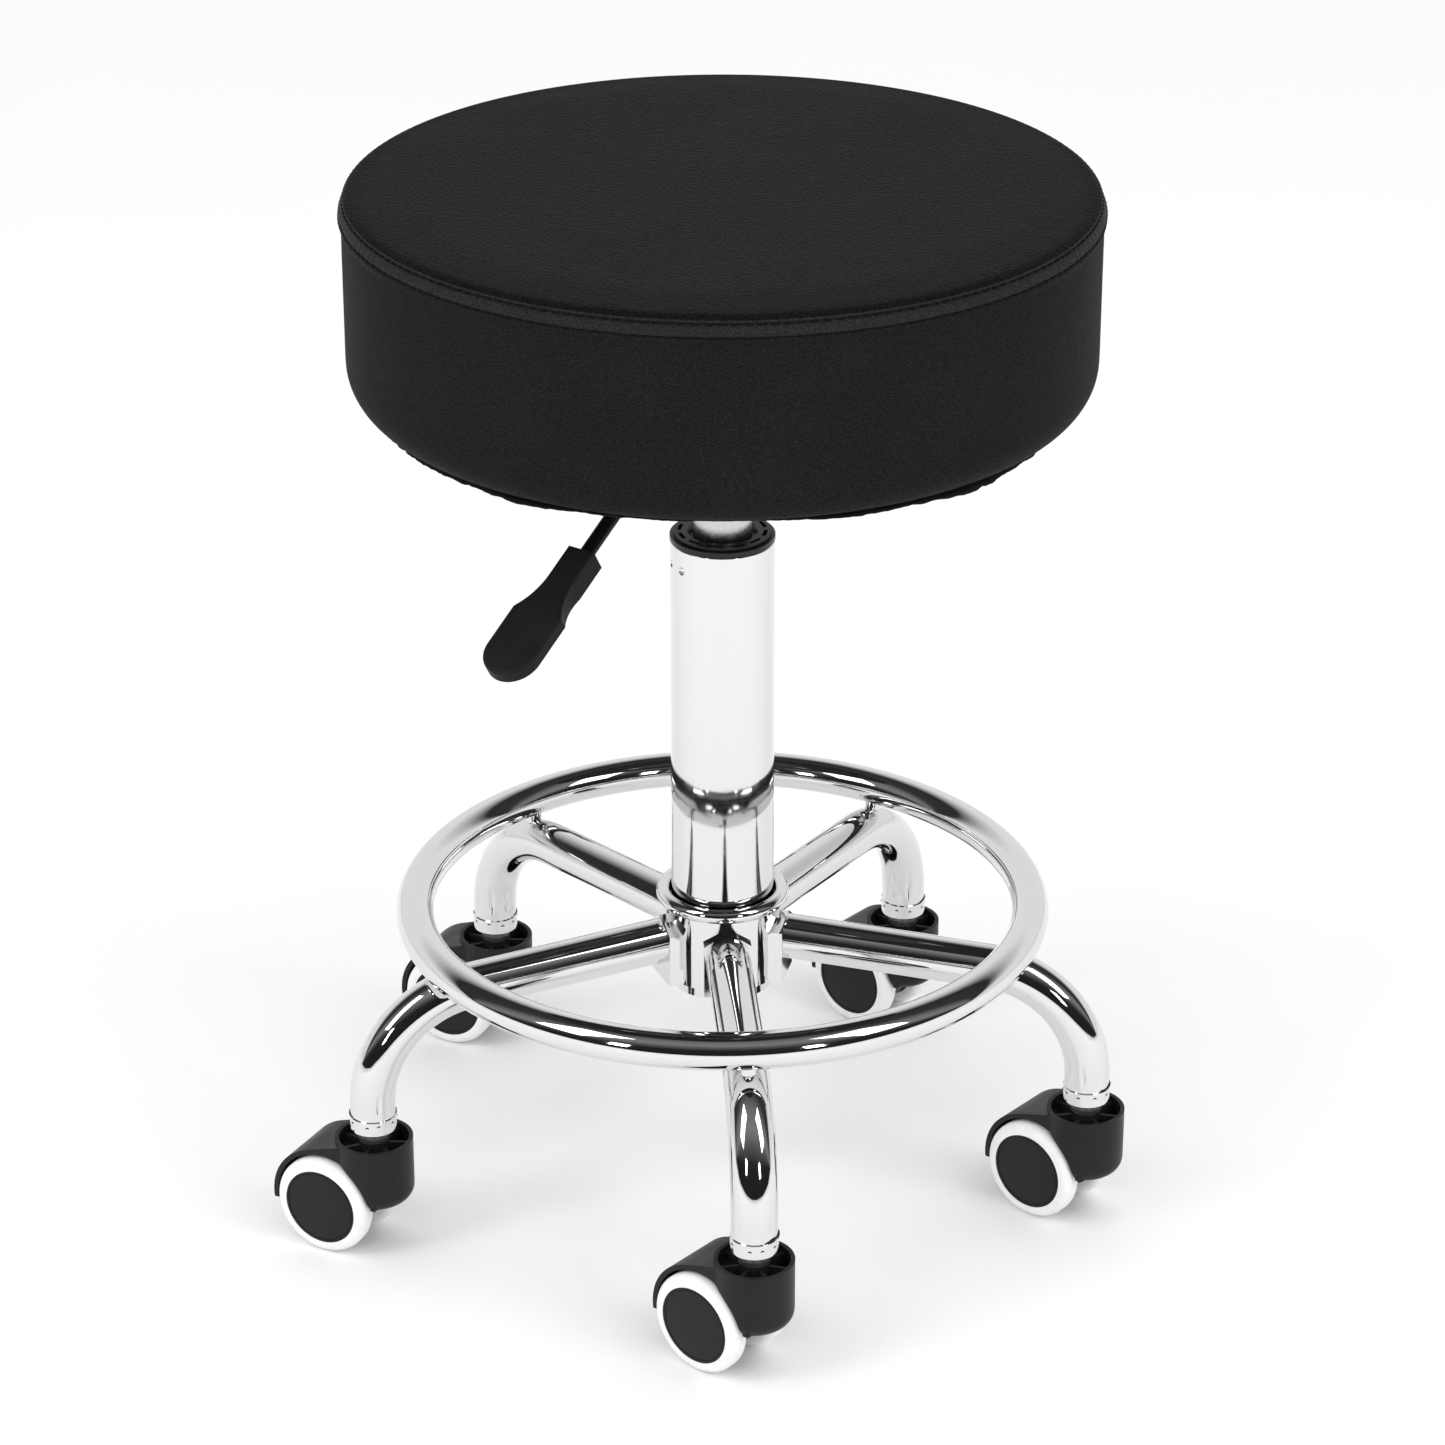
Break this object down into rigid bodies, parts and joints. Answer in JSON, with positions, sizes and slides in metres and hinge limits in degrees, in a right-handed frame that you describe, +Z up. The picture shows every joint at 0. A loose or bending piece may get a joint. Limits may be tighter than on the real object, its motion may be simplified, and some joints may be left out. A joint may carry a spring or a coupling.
{
  "type": "swivel stool",
  "caption": "Height adjustable swivel stool: round padded seat, gas lift with lever, chromed star base with foot ring and twin-wheel casters.",
  "frame": {"origin": "on the floor, under the swivel axis of the seat", "axes": "+Z up, the first leg points along -Y"},
  "size_m": [0.4167, 0.3959, 0.52],
  "materials": {
    "seat_vinyl": "satin grained vinyl",
    "foam": "open foam",
    "plywood": "raw",
    "dust_cloth": "non-woven",
    "plated_steel": "zinc plated",
    "black_steel": "black powder coat",
    "black_plastic": "fine moulded",
    "brushed_tube": "brushed",
    "black_rubber": "matt",
    "chrome_plate": "mirror",
    "caster_nylon": "satin moulded",
    "white_tread": "smooth polyurethane"
  },
  "bodies": {
    "base": {"stand_tube": "chrome_plate", "guide_bush": "black_plastic", "hub": "chrome_plate", "foot_ring": "chrome_plate", "stem_sockets": "chrome_plate", "caster_stems": "plated_steel", "thrust_bearing": "plated_steel", "leg_1": "chrome_plate", "leg_2": "chrome_plate", "leg_3": "chrome_plate", "leg_4": "chrome_plate", "leg_5": "chrome_plate"},
    "spindle": {"piston_rod": "plated_steel", "bump_stop": "black_rubber", "bearing_upper_race": "plated_steel", "retaining_clip": "plated_steel"},
    "seat": {"seat_cover": "seat_vinyl", "seat_foam": "foam", "seat_board": "plywood", "dust_cover": "dust_cloth", "cover_staples": "plated_steel", "t_nuts": "plated_steel", "seat_bolts": "plated_steel", "seat_plate": "black_steel", "lever_pin": "plated_steel", "gas_cylinder": "brushed_tube", "rod_guide": "black_plastic"},
    "lever": {"lever_rod": "black_steel", "lever_handle": "black_plastic"},
    "valve": {"valve_pin": "plated_steel"},
    "caster_1": {"caster_1_housing": "caster_nylon", "caster_1_axle": "plated_steel"},
    "caster_1_roller_a": {"caster_1_tyre_a": "white_tread", "caster_1_wheel_a": "caster_nylon"},
    "caster_1_roller_b": {"caster_1_tyre_b": "white_tread", "caster_1_wheel_b": "caster_nylon"},
    "caster_2": {"caster_2_housing": "caster_nylon", "caster_2_axle": "plated_steel"},
    "caster_2_roller_a": {"caster_2_tyre_a": "white_tread", "caster_2_wheel_a": "caster_nylon"},
    "caster_2_roller_b": {"caster_2_tyre_b": "white_tread", "caster_2_wheel_b": "caster_nylon"},
    "caster_3": {"caster_3_housing": "caster_nylon", "caster_3_axle": "plated_steel"},
    "caster_3_roller_a": {"caster_3_tyre_a": "white_tread", "caster_3_wheel_a": "caster_nylon"},
    "caster_3_roller_b": {"caster_3_tyre_b": "white_tread", "caster_3_wheel_b": "caster_nylon"},
    "caster_4": {"caster_4_housing": "caster_nylon", "caster_4_axle": "plated_steel"},
    "caster_4_roller_a": {"caster_4_tyre_a": "white_tread", "caster_4_wheel_a": "caster_nylon"},
    "caster_4_roller_b": {"caster_4_tyre_b": "white_tread", "caster_4_wheel_b": "caster_nylon"},
    "caster_5": {"caster_5_housing": "caster_nylon", "caster_5_axle": "plated_steel"},
    "caster_5_roller_a": {"caster_5_tyre_a": "white_tread", "caster_5_wheel_a": "caster_nylon"},
    "caster_5_roller_b": {"caster_5_tyre_b": "white_tread", "caster_5_wheel_b": "caster_nylon"}
  },
  "joints": [
    {"name": "seat_swivel", "type": "hinge", "parent": "base", "child": "spindle", "pos_m": [0, 0, 0.122], "axis": [0, 0, 1], "continuous": true},
    {"name": "seat_lift", "type": "slide", "parent": "spindle", "child": "seat", "axis": [0, 0, 1], "range_m": [0, 0.11]},
    {"name": "lever_rock", "type": "hinge", "parent": "seat", "child": "lever", "pos_m": [-0.01757, -0.0205, 0.4045], "axis": [-0.7593, 0.6508, 0], "range_deg": [0, 8], "stiffness_Nm_per_rad": 6, "springref_deg": -2.86},
    {"name": "valve_press", "type": "slide", "parent": "seat", "child": "valve", "axis": [0, 0, 1], "range_m": [-0.0039, 0]},
    {"name": "caster_1_swivel", "type": "hinge", "parent": "base", "child": "caster_1", "pos_m": [0, -0.183, 0.05], "axis": [0, 0, 1], "continuous": true},
    {"name": "caster_1_roll_a", "type": "hinge", "parent": "caster_1", "child": "caster_1_roller_a", "pos_m": [-0.01379, -0.16921, 0.025], "axis": [-0.7071, -0.7071, 0], "continuous": true},
    {"name": "caster_1_roll_b", "type": "hinge", "parent": "caster_1", "child": "caster_1_roller_b", "pos_m": [-0.01379, -0.16921, 0.025], "axis": [-0.7071, -0.7071, 0], "continuous": true},
    {"name": "caster_2_swivel", "type": "hinge", "parent": "base", "child": "caster_2", "pos_m": [0.17404, -0.05655, 0.05], "axis": [0, 0, 1], "continuous": true},
    {"name": "caster_2_roll_a", "type": "hinge", "parent": "caster_2", "child": "caster_2_roller_a", "pos_m": [0.16026, -0.04276, 0.025], "axis": [-0.7071, -0.7071, 0], "continuous": true},
    {"name": "caster_2_roll_b", "type": "hinge", "parent": "caster_2", "child": "caster_2_roller_b", "pos_m": [0.16026, -0.04276, 0.025], "axis": [-0.7071, -0.7071, 0], "continuous": true},
    {"name": "caster_3_swivel", "type": "hinge", "parent": "base", "child": "caster_3", "pos_m": [0.10756, 0.14805, 0.05], "axis": [0, 0, 1], "continuous": true},
    {"name": "caster_3_roll_a", "type": "hinge", "parent": "caster_3", "child": "caster_3_roller_a", "pos_m": [0.09378, 0.16184, 0.025], "axis": [-0.7071, -0.7071, 0], "continuous": true},
    {"name": "caster_3_roll_b", "type": "hinge", "parent": "caster_3", "child": "caster_3_roller_b", "pos_m": [0.09378, 0.16184, 0.025], "axis": [-0.7071, -0.7071, 0], "continuous": true},
    {"name": "caster_4_swivel", "type": "hinge", "parent": "base", "child": "caster_4", "pos_m": [-0.10756, 0.14805, 0.05], "axis": [0, 0, 1], "continuous": true},
    {"name": "caster_4_roll_a", "type": "hinge", "parent": "caster_4", "child": "caster_4_roller_a", "pos_m": [-0.12445, 0.1578, 0.025], "axis": [-0.5, -0.866, 0], "continuous": true},
    {"name": "caster_4_roll_b", "type": "hinge", "parent": "caster_4", "child": "caster_4_roller_b", "pos_m": [-0.12445, 0.1578, 0.025], "axis": [-0.5, -0.866, 0], "continuous": true},
    {"name": "caster_5_swivel", "type": "hinge", "parent": "base", "child": "caster_5", "pos_m": [-0.17404, -0.05655, 0.05], "axis": [0, 0, 1], "continuous": true},
    {"name": "caster_5_roll_a", "type": "hinge", "parent": "caster_5", "child": "caster_5_roller_a", "pos_m": [-0.19049, -0.04607, 0.025], "axis": [-0.5373, -0.8434, 0], "continuous": true},
    {"name": "caster_5_roll_b", "type": "hinge", "parent": "caster_5", "child": "caster_5_roller_b", "pos_m": [-0.19049, -0.04607, 0.025], "axis": [-0.5373, -0.8434, 0], "continuous": true}
  ],
  "couplings": [
    {"joint": "valve_press", "follows": "lever_rock", "m_per_rad": -0.0279}
  ]
}
